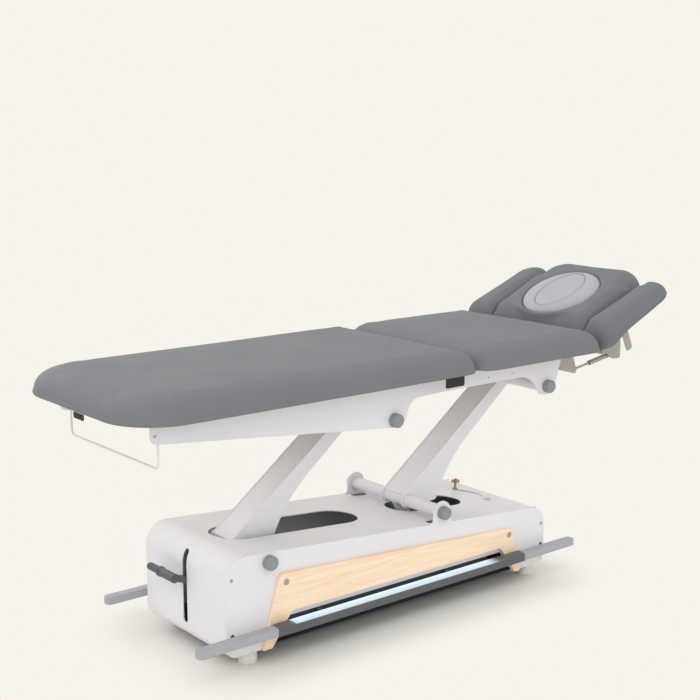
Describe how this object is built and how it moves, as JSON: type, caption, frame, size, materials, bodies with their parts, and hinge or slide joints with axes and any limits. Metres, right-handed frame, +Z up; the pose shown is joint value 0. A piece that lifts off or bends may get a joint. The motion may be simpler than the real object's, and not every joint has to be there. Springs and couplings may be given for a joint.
{
  "type": "treatment table",
  "caption": "Height-adjustable treatment table with a wedge base, two lift arms, upholstered sections, a tilting head section with a face hole and folding arm pads.",
  "frame": {"origin": "on the floor, under the centre of the bounding box", "axes": "+X towards the head end, +Y to the far side (the side of the paper wire's post), +Z up"},
  "size_m": [2.0334, 0.65, 0.9381],
  "materials": {
    "white_metal": "satin",
    "dark_steel": "satin",
    "steel": "satin",
    "cap_plastic": "satin",
    "bar_plastic": "satin",
    "maple": "satin",
    "lamp": "satin",
    "rubber": "matte",
    "black_plastic": "satin",
    "foot_plastic": "satin",
    "upholstery": "matte",
    "plug_vinyl": "satin",
    "plywood": "matte",
    "greige_metal": "satin",
    "bronze": "satin"
  },
  "bodies": {
    "base": {"base_cover": "white_metal", "base_chassis": "dark_steel", "side_plate_front": "white_metal", "side_plate_back": "white_metal", "wood_panel_front": "maple", "wood_panel_back": "maple", "light_strip_front": "lamp", "light_strip_back": "lamp", "foot_foot_end_front": "foot_plastic", "foot_foot_end_back": "foot_plastic", "foot_head_end_front": "foot_plastic", "foot_head_end_back": "foot_plastic", "control_box": "black_plastic", "power_inlet": "black_plastic", "base_foot_axle": "steel", "base_head_axle": "steel", "base_foot_cap_front": "cap_plastic", "base_foot_cap_back": "cap_plastic", "base_head_cap_front": "cap_plastic", "base_head_cap_back": "cap_plastic", "key_tether": "steel", "tether_button": "foot_plastic"},
    "foot_arm": {"foot_arm": "white_metal"},
    "head_arm": {"head_arm": "white_metal"},
    "actuator_housing": {"actuator_housing": "black_plastic"},
    "actuator_rod": {"actuator_rod": "steel"},
    "top_frame": {"rail_front": "white_metal", "rail_back": "white_metal", "foot_crossbar": "white_metal", "top_foot_axle": "steel", "top_head_axle": "steel", "top_foot_cap_front": "cap_plastic", "top_foot_cap_back": "cap_plastic", "top_head_cap_front": "cap_plastic", "top_head_cap_back": "cap_plastic", "leg_board": "plywood", "leg_cushion": "upholstery", "mid_board": "plywood", "mid_cushion": "upholstery", "paper_holder": "white_metal", "head_hinge_bracket": "greige_metal"},
    "head_section": {"head_frame": "greige_metal", "head_cushion": "upholstery"},
    "face_plug": {"face_plug": "plug_vinyl"},
    "arm_pad_front": {"arm_pad_front": "upholstery", "pad_bracket_front": "greige_metal"},
    "arm_pad_back": {"arm_pad_back": "upholstery", "pad_bracket_back": "greige_metal"},
    "tilt_strut_rod": {"tilt_strut_rod": "steel"},
    "tilt_strut_cylinder": {"tilt_strut_cylinder": "greige_metal"},
    "control_bar_front": {"control_bar_front": "bar_plastic"},
    "control_bar_back": {"control_bar_back": "bar_plastic"},
    "castor_lever": {"castor_lever": "black_plastic"},
    "castor_carriage": {"castor_carriage": "steel"},
    "lock_key": {"lock_key": "bronze"},
    "castor_wheel_foot_end_front": {"castor_wheel_foot_end_front": "rubber"},
    "castor_wheel_foot_end_back": {"castor_wheel_foot_end_back": "rubber"},
    "castor_wheel_head_end_front": {"castor_wheel_head_end_front": "rubber"},
    "castor_wheel_head_end_back": {"castor_wheel_head_end_back": "rubber"}
  },
  "joints": [
    {"name": "lift", "type": "hinge", "parent": "base", "child": "foot_arm", "pos_m": [-0.55741, 0, 0.28], "axis": [0, -1, 0], "range_deg": [-35, 30]},
    {"name": "head_arm_pivot", "type": "hinge", "parent": "base", "child": "head_arm", "pos_m": [0.07459, 0, 0.291], "axis": [0, -1, 0], "range_deg": [-35, 30]},
    {"name": "top_level", "type": "hinge", "parent": "foot_arm", "child": "top_frame", "pos_m": [-0.14766, 0, 0.613], "axis": [0, -1, 0], "range_deg": [-30, 35]},
    {"name": "actuator_pivot", "type": "hinge", "parent": "base", "child": "actuator_housing", "pos_m": [-0.39241, 0, 0.11], "axis": [0, -1, 0], "range_deg": [-2.1, 1.8]},
    {"name": "actuator_stroke", "type": "slide", "parent": "actuator_housing", "child": "actuator_rod", "axis": [0.9902, 0, 0.1394], "range_m": [-0.068, 0.058]},
    {"name": "head_tilt", "type": "hinge", "parent": "top_frame", "child": "head_section", "pos_m": [0.65934, 0, 0.712], "axis": [0, -1, 0], "range_deg": [-60, 5]},
    {"name": "strut_foot_pivot", "type": "hinge", "parent": "top_frame", "child": "tilt_strut_rod", "pos_m": [0.65734, -0.188, 0.647], "axis": [0, -1, 0], "range_deg": [-68, 6]},
    {"name": "strut_stroke", "type": "slide", "parent": "tilt_strut_rod", "child": "tilt_strut_cylinder", "axis": [0.9867, 0, 0.1626], "range_m": [-0.063, 0.006]},
    {"name": "face_plug_lift", "type": "slide", "parent": "head_section", "child": "face_plug", "axis": [-0.4147, 0, 0.91], "range_m": [0, 0.12]},
    {"name": "arm_pad_front_fold", "type": "hinge", "parent": "head_section", "child": "arm_pad_front", "pos_m": [0.68996, -0.262, 0.71716], "axis": [0, -1, 0], "range_deg": [-45, 0]},
    {"name": "arm_pad_back_fold", "type": "hinge", "parent": "head_section", "child": "arm_pad_back", "pos_m": [0.68996, 0.262, 0.71716], "axis": [0, -1, 0], "range_deg": [-45, 0]},
    {"name": "control_bar_front_slide", "type": "slide", "parent": "base", "child": "control_bar_front", "axis": [1, 0, 0], "range_m": [-0.01, 0.01], "stiffness_N_per_m": 1500},
    {"name": "control_bar_back_slide", "type": "slide", "parent": "base", "child": "control_bar_back", "axis": [1, 0, 0], "range_m": [-0.01, 0.01], "stiffness_N_per_m": 1500},
    {"name": "castor_lever_press", "type": "hinge", "parent": "base", "child": "castor_lever", "pos_m": [-0.55241, 0, 0.15], "axis": [0, -1, 0], "range_deg": [-12, 35]},
    {"name": "castor_carriage_drop", "type": "slide", "parent": "base", "child": "castor_carriage", "axis": [0, 0, -1], "range_m": [-0.006, 0.017]},
    {"name": "lock_key_turn", "type": "hinge", "parent": "base", "child": "lock_key", "pos_m": [0.40459, 0.087, 0.23234], "axis": [0.0766, 0, 0.9971], "range_deg": [0, 90]},
    {"name": "castor_wheel_foot_end_front_roll", "type": "hinge", "parent": "castor_carriage", "child": "castor_wheel_foot_end_front", "pos_m": [-0.53241, -0.11, 0.042], "axis": [0, 1, 0], "continuous": true},
    {"name": "castor_wheel_foot_end_back_roll", "type": "hinge", "parent": "castor_carriage", "child": "castor_wheel_foot_end_back", "pos_m": [-0.53241, 0.11, 0.042], "axis": [0, 1, 0], "continuous": true},
    {"name": "castor_wheel_head_end_front_roll", "type": "hinge", "parent": "castor_carriage", "child": "castor_wheel_head_end_front", "pos_m": [0.39759, -0.11, 0.042], "axis": [0, 1, 0], "continuous": true},
    {"name": "castor_wheel_head_end_back_roll", "type": "hinge", "parent": "castor_carriage", "child": "castor_wheel_head_end_back", "pos_m": [0.39759, 0.11, 0.042], "axis": [0, 1, 0], "continuous": true}
  ],
  "couplings": [
    {"joint": "head_arm_pivot", "follows": "lift", "ratio": 1},
    {"joint": "top_level", "follows": "lift", "ratio": -1},
    {"joint": "actuator_pivot", "follows": "lift", "ratio": 0.0575},
    {"joint": "actuator_stroke", "follows": "lift", "m_per_rad": 0.11},
    {"joint": "strut_foot_pivot", "follows": "head_tilt", "ratio": 1.115},
    {"joint": "strut_stroke", "follows": "head_tilt", "m_per_rad": 0.0595},
    {"joint": "castor_carriage_drop", "follows": "castor_lever_press", "m_per_rad": 0.0262}
  ]
}
